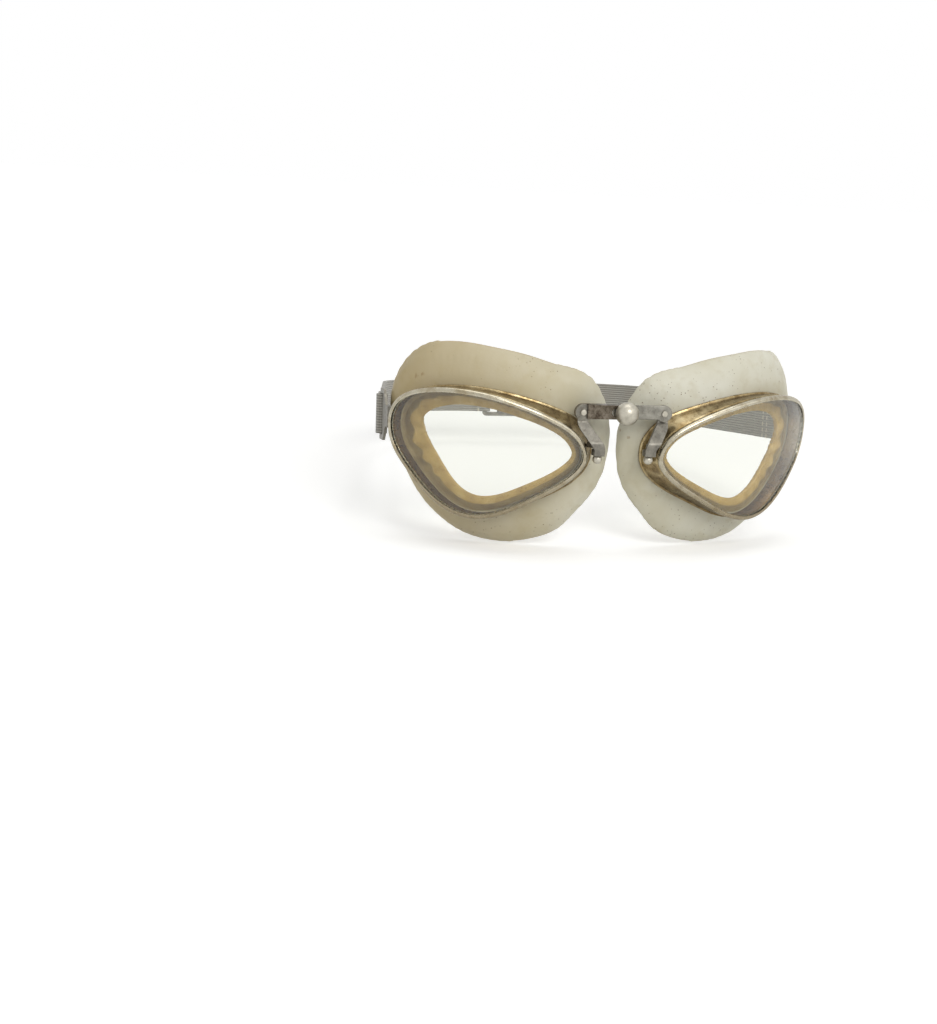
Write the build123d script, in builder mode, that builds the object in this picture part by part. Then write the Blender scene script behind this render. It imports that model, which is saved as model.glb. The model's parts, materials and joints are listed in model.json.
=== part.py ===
from build123d import *
import os
from math import cos, floor, pi, sin

# Flying goggles, in millimetres. The front faces -Y, Z is up, and right is +X, as seen from
# the front. The origin is on the middle plane, where the pads come to rest on the nose.

# Glass: bent to an upright cylinder, so that it wraps from the nose to the temple
bend_radius = 82.0
front_line_x = 20.2
front_line_y = -19.3
nose_arc = 5.6
glass_length = 74.6
glass_height = 45.2
glass_top = 4.8
glass_thickness = 1.6
outline_shares = [
    (0.0, 0.555), (0.04, 0.679), (0.133, 0.79), (0.268, 0.887), (0.425, 0.962), (0.583, 0.998),
    (0.753, 0.987), (0.886, 0.929), (0.976, 0.814), (1.0, 0.661), (0.981, 0.529), (0.887, 0.334),
    (0.748, 0.131), (0.638, 0.031), (0.538, 0.0), (0.41, 0.04), (0.259, 0.164), (0.119, 0.299),
    (0.035, 0.412),
]

# Rim: the folded channel that grips the edge of the glass
channel_radius = 1.2
channel_wall = 0.4
channel_leg = 0.6
glass_gap = 0.1
glass_bite = 0.2

# Side band: the metal wall behind the rim, deep and flared at the nose, with a rolled edge
band_thickness = 0.75
band_root = 0.35
band_depth_nose = 8.1
band_depth_temple = 4.5
band_flare_nose = 5.6
band_flare_temple = 0.3
roll_lip = 0.8
roll_height = 1.2
seat_gap = 0.15

# Face pad: moulded rubber, its reach past the rim, its depth, and its opening for the eye
pad_reach = 21.9
pad_depth = 14.8
pad_inset = 10.8
pad_lip_depth = 7.5
pad_lip = 2.0
pad_edge = 2.2
pad_web = 1.6
pad_wall = 0.8
pad_groove = 0.4
lip_ring_share = 0.5
pad_crown_share = 0.1
crown_near_share = 0.25
crown_low_share = 0.75
crown_far_share = 0.7
pad_reach_shares = [
    0.69, 0.95, 0.82, 0.77, 0.74, 0.77, 0.77, 0.58, 0.36, 0.41, 0.44, 0.45, 0.58, 0.78, 0.88, 0.76,
]
pad_depth_shares = [
    0.83, 0.86, 1.0, 0.98, 0.93, 0.89, 0.84, 0.83, 0.77, 0.75, 0.74, 0.78, 0.9, 0.94, 0.88, 0.83,
]
pad_inset_shares = [0.32, 0.37, 0.47, 0.54, 0.63, 0.82, 1.0, 0.9, 0.69, 0.57, 0.45, 0.36]
pad_lip_shares = [0.56, 0.67, 0.8, 0.92, 0.94, 0.9, 0.84, 0.86, 0.92, 0.93, 0.87, 0.73]
loop_stations = 72
seam_share = 0.25

# Bridge: two slotted plates clamped by a ball knob on a threaded spindle
knob_y = -20.0
knob_radius = 4.25
knob_seat = 2.2
knob_bore_past = 2.0
spindle_radius = 1.2
thread_gap = 0.05
plate_thickness = 1.0
plate_gap = 0.1
plate_height = 5.2
plate_inner = 4.1
slot_inner = 3.2
slot_outer = 5.0
slot_width = 2.8
pivot_x = 15.4
pivot_z = -0.4
lobe_radius = 3.0
front_leaf_end = 14.1
web_outer = 12.0
web_inner = 6.5
washer_radius = 3.2
washer_thickness = 0.6
nut_across = 5.0
nut_thickness = 2.2
spindle_tail = 0.6

# Rivets that the nose arms turn on
rivet_radius = 0.75
rivet_head = 1.1
rivet_head_height = 0.45
pivot_gap = 0.05

# Nose arm and the upright hinge at its foot
arm_width = 4.0
arm_foot_y = -21.4
arm_bend_top = -3.9
arm_bend_foot = -10.9
arm_bend_radius = 1.5
arm_knee_z = -4.6
arm_ankle_z = -12.4
arm_sweep_radius = 3.6
hinge_x = 9.7
hinge_y = -19.4
collar_radius = 2.3
collar_top = -13.4
collar_height = 2.0
pin_radius = 0.6
pin_ball = 1.75
pin_bite = 0.3
knuckle_radius = 1.2
knuckle_height = 2.0
knuckle_gap = 0.2
leaf_near_share = 0.2
leaf_far_share = 0.5

# Temple loop: a plate on the band that carries the headband, both falling to the rear
strap_angle = 7.5
loop_z = -9.0
loop_thickness = 1.0
loop_length = 15.4
loop_bar = 2.4
loop_opening = 3.2
loop_side = 1.9
foot_height = 8.0
foot_share = 0.482
neck_length = 3.6

# Headband: flat elastic, sewn round the loop in front and round the buckle behind
strap_width = 15.0
strap_thickness = 1.3
strap_gap = 0.3
strap_side_x = 66.0
strap_side_length = 112.0
strap_back_x = 14.0
lap_length = 16.0
buckle_width = 21.0
buckle_bar = 2.2
buckle_thickness = 1.2
buckle_window = 5.2

# Overrun of cutting tools past what they cut
overrun = 4.0


def around(shares, place):
    """Share at a place round the loop, on a smooth curve through the shares of the table."""
    count = len(shares)
    spot = (place % 1) * count
    low = floor(spot)
    step = spot - low
    before, here, after, beyond = [shares[(low + move) % count] for move in (-1, 0, 1, 2)]
    slope = (after - before) / 2
    next_slope = (beyond - here) / 2
    square = (after - here) * 3 - slope * 2 - next_slope
    cube = (here - after) * 2 + slope + next_slope
    return here + slope * step + square * step**2 + cube * step**3


def local_point(plane, out, back):
    """Point in a station's plane: out from the glass and back towards the face."""
    return plane.origin + plane.x_dir * out + plane.y_dir * back


with BuildLine() as outline:
    Spline(
        *[
            (along * glass_length - nose_arc, glass_top - (1 - up) * glass_height)
            for along, up in outline_shares
        ],
        periodic=True,
    )
outline_edge = outline.edge()


def station(place):
    """Plane square to the edge of the glass: X points out of the eyepiece, Y back."""
    spot = outline_edge.position_at(place % 1)
    along = outline_edge.tangent_at(place % 1)
    turn = spot.X / bend_radius
    sideways = Vector(cos(turn), sin(turn), 0)
    upright = Vector(0, 0, 1)
    foot = Vector(
        front_line_x + bend_radius * sin(turn),
        front_line_y + bend_radius * (1 - cos(turn)),
        spot.Y,
    )
    out = sideways * -along.Y + upright * along.X
    path = sideways * along.X + upright * along.Y
    return Plane(origin=foot, x_dir=out, z_dir=path * -1)


def nose_share(place):
    """One at the nose end of the glass, nothing at the temple end."""
    return 1 - (outline_edge.position_at(place % 1).X + nose_arc) / glass_length


def band_flare(place):
    near_nose = nose_share(place)
    return band_flare_temple + (band_flare_nose - band_flare_temple) * near_nose**3


def band_depth(place):
    return band_depth_temple + (band_depth_nose - band_depth_temple) * nose_share(place)


half_glass = glass_thickness / 2
channel_inside = half_glass + glass_gap
channel_outside = channel_inside + channel_wall
channel_web = channel_radius - channel_wall
glass_edge = channel_web - glass_bite


def channel_profile(place):
    """Folded channel, open to the inside, with a bevelled back."""
    with BuildSketch(station(place)) as profile:
        with BuildLine():
            Polyline(
                (-channel_leg, -channel_outside),
                (-channel_leg, -channel_inside),
                (channel_web, -channel_inside),
                (channel_web, channel_inside),
                (-channel_leg, channel_inside),
                (-channel_leg, channel_outside),
                (channel_radius / 3, channel_outside),
                (channel_radius, channel_outside / 2),
                (channel_radius, -channel_outside / 2),
                (channel_radius / 3, -channel_outside),
                close=True,
            )
        make_face()
    return profile.sketch.face()


band_start = channel_outside + seat_gap


def band_profile(place):
    """Sloping wall that ends in a rolled edge."""
    flare = band_flare(place)
    depth = band_depth(place)
    with BuildSketch(station(place)) as profile:
        with BuildLine():
            Polyline(
                (flare - band_thickness, depth + roll_height),
                (band_root, band_start),
                (band_root + band_thickness, band_start),
                (flare, depth),
                (flare + roll_lip, depth + roll_height / 4),
                (flare + roll_lip, depth + roll_height),
                close=True,
            )
        make_face()
    return profile.sketch.face()


def pad_profile(place):
    """Cushion of rubber: seat for the rolled edge, lip round the eye, crowned front."""
    flare = band_flare(place)
    depth = band_depth(place)
    reach = pad_reach * around(pad_reach_shares, place)
    back = pad_depth * around(pad_depth_shares, place)
    inset = pad_inset * around(pad_inset_shares, place)
    lip_depth = pad_lip_depth * around(pad_lip_shares, place)
    collar_out = flare + roll_lip + seat_gap
    collar_back = depth + roll_height + seat_gap
    wall_lean = (flare - band_thickness - band_root) / (collar_back - band_start)
    wall_back = lip_depth + pad_groove
    wall_out = band_root - seat_gap + wall_lean * (wall_back - band_start) - pad_wall
    front = Vector(collar_out, collar_back)
    rim = Vector(reach, back)
    bulge = Vector(rim.Y - front.Y, front.X - rim.X) * pad_crown_share
    near_front = front + (rim - front) * crown_near_share + bulge * crown_low_share
    near_rim = front + (rim - front) * crown_far_share + bulge
    with BuildSketch(station(place)) as profile:
        with BuildLine():
            Polyline(
                (front.X, front.Y),
                (flare - band_thickness - seat_gap, collar_back),
                (wall_out, wall_back),
                (-inset * lip_ring_share, lip_depth - pad_groove),
                (-inset, lip_depth),
                (-inset + pad_lip / 3, lip_depth + pad_lip),
                (flare - band_thickness, collar_back + pad_web),
                (reach - pad_edge, back + pad_edge / 2),
                (reach, back),
                (near_rim.X, near_rim.Y),
                (near_front.X, near_front.Y),
                close=True,
            )
        make_face()
    return profile.sketch.face()


def closed_loft(profile, count):
    """Ring of straight facets through profiles, which ends in the wire that it began with."""
    wires = [profile(seam_share + step / count).outer_wire() for step in range(count)]
    return Solid.make_loft(wires + wires[:1], ruled=True)


# The ring of waste that is cut from the glass blank
def waste_profile(place):
    with BuildSketch(station(place)) as profile:
        with Locations((glass_edge + overrun * 2, 0)):
            Rectangle(overrun * 4, glass_thickness + overrun)
    return profile.sketch.face()


blank_start = -nose_arc - overrun / 2
blank_end = glass_length - nose_arc + overrun / 2
to_degrees = 180 / pi
with BuildPart() as glass_blank:
    with BuildSketch(Plane.XY.offset(glass_top + overrun / 2)) as arc_strip:
        with BuildLine():
            axis = (front_line_x, front_line_y + bend_radius)
            sweep = (blank_end - blank_start) / bend_radius * to_degrees
            first = -90 + blank_start / bend_radius * to_degrees
            inner = CenterArc(axis, bend_radius - half_glass, first, sweep)
            outer = CenterArc(axis, bend_radius + half_glass, first, sweep)
            Line(inner @ 0, outer @ 0)
            Line(inner @ 1, outer @ 1)
        make_face()
    extrude(amount=-(glass_height + overrun))
    add(closed_loft(waste_profile, loop_stations), mode=Mode.SUBTRACT)

with BuildPart() as right_lens:
    add(glass_blank.solids().sort_by(SortBy.VOLUME)[-1])

with BuildPart() as right_rim:
    add(closed_loft(channel_profile, loop_stations))

with BuildPart() as right_side_band:
    add(closed_loft(band_profile, loop_stations))

with BuildPart() as right_face_pad:
    add(closed_loft(pad_profile, loop_stations))

# Knuckle: the hinge barrel, with a leaf that is soldered to the side band at the nose
knuckle_bottom = collar_top + knuckle_gap


def on_wall(place, share):
    """Point just outside the side band, that share of the way along its wall."""
    outer = Vector(band_root + band_thickness + seat_gap, band_start)
    inner = Vector(band_flare(place) + seat_gap, band_depth(place))
    spot = outer + (inner - outer) * share
    return local_point(station(place), spot.X, spot.Y)


def off_knuckle(place):
    """How far above or below the foot of the knuckle the wall is met at that place."""
    return abs(on_wall(place, leaf_far_share).Z - knuckle_bottom)


near_nose = [step / loop_stations / 4 for step in range(-loop_stations // 2, loop_stations // 2)]
nose_place = min(near_nose, key=off_knuckle)
near_point = on_wall(nose_place, leaf_near_share)
far_point = on_wall(nose_place, leaf_far_share)
with BuildPart() as right_hinge_knuckle:
    with BuildSketch(Plane.XY.offset(knuckle_bottom)):
        with BuildLine():
            Polyline(
                (hinge_x, hinge_y - knuckle_radius / 2),
                (near_point.X, near_point.Y),
                (far_point.X, far_point.Y),
                (hinge_x, hinge_y + knuckle_radius),
                close=True,
            )
        make_face()
        with Locations((hinge_x, hinge_y)):
            Circle(knuckle_radius)
            Circle(pin_radius + pivot_gap, mode=Mode.SUBTRACT)
    extrude(amount=knuckle_height)

# Hinge pin: held in the arm's collar, with a ball below it
pin_top = knuckle_bottom + knuckle_height
collar_bottom = collar_top - collar_height
ball_z = collar_bottom - plate_gap - pin_ball + pin_bite
ball_land = (pin_ball**2 - (pin_ball - pin_bite) ** 2) ** 0.5
ball_top = collar_bottom - plate_gap
with BuildPart() as right_hinge_pin:
    with BuildSketch(Plane(origin=(hinge_x, hinge_y, 0), x_dir=(1, 0, 0), z_dir=(0, -1, 0))):
        with BuildLine():
            Polyline((0, ball_z - pin_ball), (0, pin_top), (pin_radius, pin_top))
            Line((pin_radius, pin_top), (pin_radius, ball_top))
            Line((pin_radius, ball_top), (ball_land, ball_top))
            ThreePointArc((ball_land, ball_top), (pin_ball, ball_z), (0, ball_z - pin_ball))
        make_face()
    revolve(axis=Axis((hinge_x, hinge_y, 0), (0, 0, 1)))

# Layers of the bridge, from the front leaf back
seat_y = knob_y + knob_seat
front_layer = seat_y + plate_gap
middle_layer = front_layer + plate_thickness + plate_gap
back_layer = middle_layer + plate_thickness + plate_gap
behind_layers = back_layer + plate_thickness + plate_gap


def facing(front_y):
    """Upright plane at that depth whose X is right and whose sketches extrude back."""
    return Plane(origin=(0, front_y, 0), x_dir=(1, 0, 0), z_dir=(0, -1, 0))


def nose_arm(layer_y):
    """Arm from its pivot lobe down to the collar, bent forward as it goes down."""
    layer_middle = layer_y + plate_thickness / 2
    with BuildPart() as arm:
        with BuildSketch(facing(layer_y)):
            with BuildLine() as centre:
                FilletPolyline(
                    (pivot_x, pivot_z),
                    (pivot_x, arm_knee_z),
                    (hinge_x, arm_ankle_z),
                    (hinge_x, collar_bottom),
                    radius=arm_sweep_radius,
                )
            trace(centre.line, arm_width)
            with Locations((pivot_x, pivot_z)):
                Circle(lobe_radius)
            with Locations((hinge_x, collar_bottom - overrun / 2)):
                Rectangle(arm_width + overrun, overrun, mode=Mode.SUBTRACT)
        extrude(amount=overrun * 3, both=True)
        with BuildSketch(Plane.YZ, mode=Mode.PRIVATE) as side:
            with BuildLine() as bend:
                FilletPolyline(
                    (layer_middle, lobe_radius + overrun),
                    (layer_middle, arm_bend_top),
                    (arm_foot_y, arm_bend_foot),
                    (arm_foot_y, collar_bottom - overrun),
                    radius=arm_bend_radius,
                )
            trace(bend.line, plate_thickness)
        extrude(side.sketch, amount=hinge_x + pivot_x + overrun, mode=Mode.INTERSECT)
        with BuildSketch(Plane.XY.offset(collar_bottom)):
            with Locations((hinge_x, hinge_y)):
                Circle(collar_radius)
        extrude(amount=collar_height)
        with BuildSketch(Plane.XY.offset(collar_bottom)):
            with Locations((hinge_x, hinge_y)):
                Circle(pin_radius + pivot_gap)
        extrude(amount=collar_height, mode=Mode.SUBTRACT)
        with BuildSketch(facing(layer_y - overrun)):
            with Locations((pivot_x, pivot_z)):
                Circle(rivet_radius + pivot_gap)
        extrude(amount=-overrun * 2, mode=Mode.SUBTRACT)
    return arm.part


with BuildPart() as right_nose_arm:
    add(nose_arm(back_layer))

with BuildPart() as left_nose_arm:
    add(nose_arm(middle_layer).mirror(Plane.YZ))

slot_length = slot_outer + slot_inner
slot_middle = (slot_outer - slot_inner) / 2
half_height = plate_height / 2

# Right plate: one slotted strip that ends in the lobe over the arm's pivot
with BuildPart() as right_bridge_plate:
    with BuildSketch(facing(middle_layer)):
        with Locations((-plate_inner + half_height, 0)):
            Circle(half_height)
        with Locations(((pivot_x - plate_inner + half_height) / 2, 0)):
            Rectangle(pivot_x + plate_inner - half_height, plate_height)
        with Locations((pivot_x, pivot_z)):
            Circle(lobe_radius)
        with Locations((slot_middle, 0)):
            SlotOverall(slot_length, slot_width, mode=Mode.SUBTRACT)
        with Locations((pivot_x, pivot_z)):
            Circle(rivet_radius, mode=Mode.SUBTRACT)
    extrude(amount=-plate_thickness)

# Left plate: folded, its front leaf over the right plate and its back leaf behind the arm
with BuildPart() as left_bridge_plate:
    with BuildSketch(facing(front_layer)):
        with Locations((plate_inner - half_height, 0)):
            Circle(half_height)
        with Locations(((plate_inner - half_height - front_leaf_end) / 2, 0)):
            Rectangle(front_leaf_end + plate_inner - half_height, plate_height)
        with Locations((-slot_middle, 0)):
            SlotOverall(slot_length, slot_width, mode=Mode.SUBTRACT)
    extrude(amount=-plate_thickness)
    with BuildSketch(facing(front_layer + plate_thickness)):
        with Locations((-(web_outer + web_inner) / 2, 0)):
            Rectangle(web_outer - web_inner, plate_height)
    extrude(amount=-(back_layer - front_layer - plate_thickness))
    with BuildSketch(facing(back_layer)):
        with Locations((-(pivot_x + web_inner) / 2, 0)):
            Rectangle(pivot_x - web_inner, plate_height)
        with Locations((-pivot_x, pivot_z)):
            Circle(lobe_radius)
            Circle(rivet_radius, mode=Mode.SUBTRACT)
    extrude(amount=-plate_thickness)


def pivot_rivet(place_x):
    """Rivet through two layers, with a low head at each end."""
    with BuildPart() as rivet:
        for head_y in (middle_layer - plate_gap, behind_layers):
            with BuildSketch(facing(head_y)):
                with Locations((place_x, pivot_z)):
                    Circle(rivet_head)
            toward = rivet_head_height if head_y < back_layer else -rivet_head_height
            extrude(amount=toward)
        with BuildSketch(facing(middle_layer - plate_gap)):
            with Locations((place_x, pivot_z)):
                Circle(rivet_radius)
        extrude(amount=-(behind_layers - middle_layer + plate_gap))
    return rivet.part


with BuildPart() as right_pivot_rivet:
    add(pivot_rivet(pivot_x))

with BuildPart() as left_pivot_rivet:
    add(pivot_rivet(-pivot_x))

# Clamp: ball knob in front, spindle through the slots, washer and nut behind
with BuildPart() as clamp_knob:
    with Locations((0, knob_y, 0)):
        Sphere(knob_radius)
    split(bisect_by=Plane.XZ.offset(-seat_y), keep=Keep.TOP)
    with BuildSketch(facing(seat_y)):
        Circle(spindle_radius + thread_gap)
    extrude(amount=knob_seat + knob_bore_past, mode=Mode.SUBTRACT)

washer_y = back_layer
nut_y = washer_y + washer_thickness + plate_gap
spindle_end = nut_y + nut_thickness + spindle_tail
with BuildPart() as clamp_spindle:
    with BuildSketch(facing(spindle_end)):
        Circle(spindle_radius)
    extrude(amount=spindle_end - seat_y + knob_seat + knob_bore_past - plate_gap)
    chamfer(clamp_spindle.edges().group_by(Axis.Y)[-1], spindle_tail / 2)

with BuildPart() as clamp_washer:
    with BuildSketch(facing(washer_y)):
        Circle(washer_radius)
        Circle(spindle_radius + plate_gap, mode=Mode.SUBTRACT)
    extrude(amount=-washer_thickness)

with BuildPart() as clamp_nut:
    with BuildSketch(facing(nut_y)):
        RegularPolygon(nut_across / 2, 6, major_radius=False)
        Circle(spindle_radius + thread_gap, mode=Mode.SUBTRACT)
    extrude(amount=-nut_thickness)

# Temple loop: foot on the band, plate along the pad, and a bar for the headband
temple_plane = station(foot_share)
foot_front = local_point(temple_plane, channel_radius + seat_gap, channel_outside)
roll_out = band_flare(foot_share) + roll_lip + seat_gap
foot_back = local_point(temple_plane, roll_out, band_depth(foot_share) + roll_height / 4)
loop_inner_x = max(right_face_pad.part.bounding_box().max.X, foot_front.X) + seat_gap
loop_outer_x = loop_inner_x + loop_thickness
loop_x = loop_inner_x + loop_thickness / 2
loop_start_y = foot_back.Y
fall = strap_angle / to_degrees
strap_plane = Plane(
    origin=(0, loop_start_y, loop_z), x_dir=(1, 0, 0), z_dir=(0, sin(fall), cos(fall))
)
bar_reach = loop_length + loop_bar / 2
window_height = strap_width + strap_gap * 2
loop_height = window_height + loop_side * 2
window_start = loop_length - loop_bar / 2 - loop_opening
with BuildPart() as right_temple_loop:
    with BuildSketch(Plane.XY.offset(loop_z - foot_height / 2)):
        with BuildLine():
            Polyline(
                (foot_front.X, foot_front.Y),
                (loop_outer_x, foot_front.Y + loop_thickness),
                (loop_outer_x, loop_start_y + loop_thickness),
                (loop_inner_x, loop_start_y + loop_thickness),
                (loop_inner_x, foot_back.Y),
                (foot_back.X, foot_back.Y),
                close=True,
            )
        make_face()
    extrude(amount=foot_height)
    with BuildSketch(
        Plane(
            origin=strap_plane.from_local_coords((loop_inner_x, 0, 0)),
            x_dir=strap_plane.y_dir,
            z_dir=(1, 0, 0),
        )
    ):
        with BuildLine():
            Polyline(
                (0, -foot_height / 2),
                (neck_length, -foot_height / 2),
                (window_start - loop_side, -loop_height / 2),
                (bar_reach, -loop_height / 2),
                (bar_reach, loop_height / 2),
                (window_start - loop_side, loop_height / 2),
                (neck_length, foot_height / 2),
                (0, foot_height / 2),
                close=True,
            )
        make_face()
        with Locations((window_start + loop_opening / 2, 0)):
            Rectangle(loop_opening, window_height, mode=Mode.SUBTRACT)
    extrude(amount=loop_thickness)

# Headband half: a lap sewn round the loop, the side of the head, then round the back
eye_radius = loop_thickness / 2 + strap_gap + strap_thickness
eye_hollow = loop_thickness / 2 + strap_gap
eye_span = loop_bar - loop_thickness
buckle_eye = buckle_thickness / 2 + strap_gap + strap_thickness
buckle_hollow = buckle_thickness / 2 + strap_gap
buckle_bar_x = buckle_width / 2 - buckle_bar / 2
side_start = Vector(loop_x, loop_length + eye_span / 2 + eye_radius / 2)
side_end = Vector(strap_side_x, strap_side_length)
side_heading = (side_end - side_start).normalized()
back_radius = (strap_side_x - strap_back_x) / side_heading.Y
strap_back = strap_side_length + back_radius * (1 + side_heading.X)
lap_end = side_start + side_heading * lap_length
rear_start = Vector(buckle_bar_x + buckle_eye / 2, strap_back)
with BuildPart() as right_headband:
    with BuildSketch(strap_plane.offset(-strap_width / 2)):
        with BuildLine() as side_run:
            straight = Line((side_start.X, side_start.Y), (side_end.X, side_end.Y))
            curve = TangentArc(straight @ 1, (strap_back_x, strap_back), tangent=straight % 1)
            Line(curve @ 1, (rear_start.X, rear_start.Y))
        trace(side_run.line, strap_thickness)
        with BuildLine() as front_lap:
            Line((side_start.X, side_start.Y), (lap_end.X, lap_end.Y))
        trace(front_lap.line, strap_thickness * 2)
        with BuildLine() as rear_lap:
            Line((rear_start.X, rear_start.Y), (strap_back_x, strap_back))
        trace(rear_lap.line, strap_thickness * 2)
        with Locations((loop_x, loop_length)):
            SlotCenterToCenter(eye_span, eye_radius * 2, rotation=90)
            SlotCenterToCenter(eye_span, eye_hollow * 2, rotation=90, mode=Mode.SUBTRACT)
        with Locations((buckle_bar_x, strap_back)):
            SlotCenterToCenter(buckle_bar - buckle_thickness, buckle_eye * 2)
            SlotCenterToCenter(
                buckle_bar - buckle_thickness, buckle_hollow * 2, mode=Mode.SUBTRACT
            )
    extrude(amount=strap_width)

# Buckle behind the head: a frame with a bar at each side and one in the middle
with BuildPart() as headband_buckle:
    with BuildSketch(
        Plane(
            origin=strap_plane.from_local_coords((0, strap_back - buckle_thickness / 2, 0)),
            x_dir=(1, 0, 0),
            z_dir=strap_plane.y_dir * -1,
        )
    ):
        RectangleRounded(buckle_width, loop_height, loop_side)
        window_x = buckle_bar_x - buckle_bar / 2 - buckle_window / 2
        with Locations((window_x, 0), (-window_x, 0)):
            Rectangle(buckle_window, window_height, mode=Mode.SUBTRACT)
    extrude(amount=-buckle_thickness)

# The left eyepiece, its hinge and its half of the headband mirror the right
with BuildPart() as left_lens:
    mirror(right_lens.part, about=Plane.YZ)

with BuildPart() as left_rim:
    mirror(right_rim.part, about=Plane.YZ)

with BuildPart() as left_side_band:
    mirror(right_side_band.part, about=Plane.YZ)

with BuildPart() as left_face_pad:
    mirror(right_face_pad.part, about=Plane.YZ)

with BuildPart() as left_hinge_knuckle:
    mirror(right_hinge_knuckle.part, about=Plane.YZ)

with BuildPart() as left_hinge_pin:
    mirror(right_hinge_pin.part, about=Plane.YZ)

with BuildPart() as left_temple_loop:
    mirror(right_temple_loop.part, about=Plane.YZ)

with BuildPart() as left_headband:
    mirror(right_headband.part, about=Plane.YZ)

# Every piece gets its name and a file of its own
os.makedirs("parts", exist_ok=True)
right_lens.part.label = "right_lens"
export_step(right_lens.part, "parts/right_lens.step")
right_rim.part.label = "right_rim"
export_step(right_rim.part, "parts/right_rim.step")
right_side_band.part.label = "right_side_band"
export_step(right_side_band.part, "parts/right_side_band.step")
right_face_pad.part.label = "right_face_pad"
export_step(right_face_pad.part, "parts/right_face_pad.step")
right_hinge_knuckle.part.label = "right_hinge_knuckle"
export_step(right_hinge_knuckle.part, "parts/right_hinge_knuckle.step")
right_hinge_pin.part.label = "right_hinge_pin"
export_step(right_hinge_pin.part, "parts/right_hinge_pin.step")
right_temple_loop.part.label = "right_temple_loop"
export_step(right_temple_loop.part, "parts/right_temple_loop.step")
right_headband.part.label = "right_headband"
export_step(right_headband.part, "parts/right_headband.step")
right_nose_arm.part.label = "right_nose_arm"
export_step(right_nose_arm.part, "parts/right_nose_arm.step")
right_bridge_plate.part.label = "right_bridge_plate"
export_step(right_bridge_plate.part, "parts/right_bridge_plate.step")
right_pivot_rivet.part.label = "right_pivot_rivet"
export_step(right_pivot_rivet.part, "parts/right_pivot_rivet.step")
left_lens.part.label = "left_lens"
export_step(left_lens.part, "parts/left_lens.step")
left_rim.part.label = "left_rim"
export_step(left_rim.part, "parts/left_rim.step")
left_side_band.part.label = "left_side_band"
export_step(left_side_band.part, "parts/left_side_band.step")
left_face_pad.part.label = "left_face_pad"
export_step(left_face_pad.part, "parts/left_face_pad.step")
left_hinge_knuckle.part.label = "left_hinge_knuckle"
export_step(left_hinge_knuckle.part, "parts/left_hinge_knuckle.step")
left_hinge_pin.part.label = "left_hinge_pin"
export_step(left_hinge_pin.part, "parts/left_hinge_pin.step")
left_temple_loop.part.label = "left_temple_loop"
export_step(left_temple_loop.part, "parts/left_temple_loop.step")
left_headband.part.label = "left_headband"
export_step(left_headband.part, "parts/left_headband.step")
left_nose_arm.part.label = "left_nose_arm"
export_step(left_nose_arm.part, "parts/left_nose_arm.step")
left_bridge_plate.part.label = "left_bridge_plate"
export_step(left_bridge_plate.part, "parts/left_bridge_plate.step")
left_pivot_rivet.part.label = "left_pivot_rivet"
export_step(left_pivot_rivet.part, "parts/left_pivot_rivet.step")
clamp_knob.part.label = "clamp_knob"
export_step(clamp_knob.part, "parts/clamp_knob.step")
clamp_spindle.part.label = "clamp_spindle"
export_step(clamp_spindle.part, "parts/clamp_spindle.step")
clamp_washer.part.label = "clamp_washer"
export_step(clamp_washer.part, "parts/clamp_washer.step")
clamp_nut.part.label = "clamp_nut"
export_step(clamp_nut.part, "parts/clamp_nut.step")
headband_buckle.part.label = "headband_buckle"
export_step(headband_buckle.part, "parts/headband_buckle.step")
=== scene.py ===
# %% [markdown]
# # Flying goggles
# The goggles are two curved glasses in metal rims, each on a moulded rubber pad, joined
# over the nose by two slotted plates that a ball knob clamps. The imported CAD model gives
# every piece its place. This notebook gives each one its finished surface.

# %% Load the frame
import bpy
import bmesh
import json
import math
from mathutils import Matrix, Vector

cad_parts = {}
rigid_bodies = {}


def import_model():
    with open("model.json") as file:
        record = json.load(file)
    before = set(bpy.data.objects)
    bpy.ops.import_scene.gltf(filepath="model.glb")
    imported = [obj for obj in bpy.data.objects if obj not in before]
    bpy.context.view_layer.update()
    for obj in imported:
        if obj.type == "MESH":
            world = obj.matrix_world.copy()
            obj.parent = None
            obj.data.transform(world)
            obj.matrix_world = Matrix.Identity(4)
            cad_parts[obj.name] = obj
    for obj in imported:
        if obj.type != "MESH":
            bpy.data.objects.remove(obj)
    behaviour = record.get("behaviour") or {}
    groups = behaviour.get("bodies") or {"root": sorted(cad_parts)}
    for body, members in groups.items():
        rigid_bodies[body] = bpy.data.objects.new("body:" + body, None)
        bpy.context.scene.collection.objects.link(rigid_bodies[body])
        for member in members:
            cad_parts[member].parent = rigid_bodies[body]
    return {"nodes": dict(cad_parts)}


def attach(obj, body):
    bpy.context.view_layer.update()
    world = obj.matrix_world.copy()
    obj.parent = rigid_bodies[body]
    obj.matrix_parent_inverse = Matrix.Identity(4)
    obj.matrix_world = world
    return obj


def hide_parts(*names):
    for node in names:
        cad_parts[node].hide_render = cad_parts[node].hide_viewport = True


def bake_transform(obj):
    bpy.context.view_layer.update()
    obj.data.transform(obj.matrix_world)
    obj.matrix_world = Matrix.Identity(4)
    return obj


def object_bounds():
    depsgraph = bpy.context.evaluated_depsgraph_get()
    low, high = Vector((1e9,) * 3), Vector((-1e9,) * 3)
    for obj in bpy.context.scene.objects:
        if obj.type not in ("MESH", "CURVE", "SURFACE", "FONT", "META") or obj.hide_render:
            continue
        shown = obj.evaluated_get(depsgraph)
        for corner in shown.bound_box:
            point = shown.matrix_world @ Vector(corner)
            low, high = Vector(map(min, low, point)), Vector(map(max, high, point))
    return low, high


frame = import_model()
cad_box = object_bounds()
scene = bpy.context.scene
MM = 0.001
print("nodes", len(frame["nodes"]))

# %% [markdown]
# ## Camera
# The photograph is taken from the viewer's left of the nose, a little above, with the
# camera tilted a few degrees. The rims' outlines fix the place and the lens.

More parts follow.
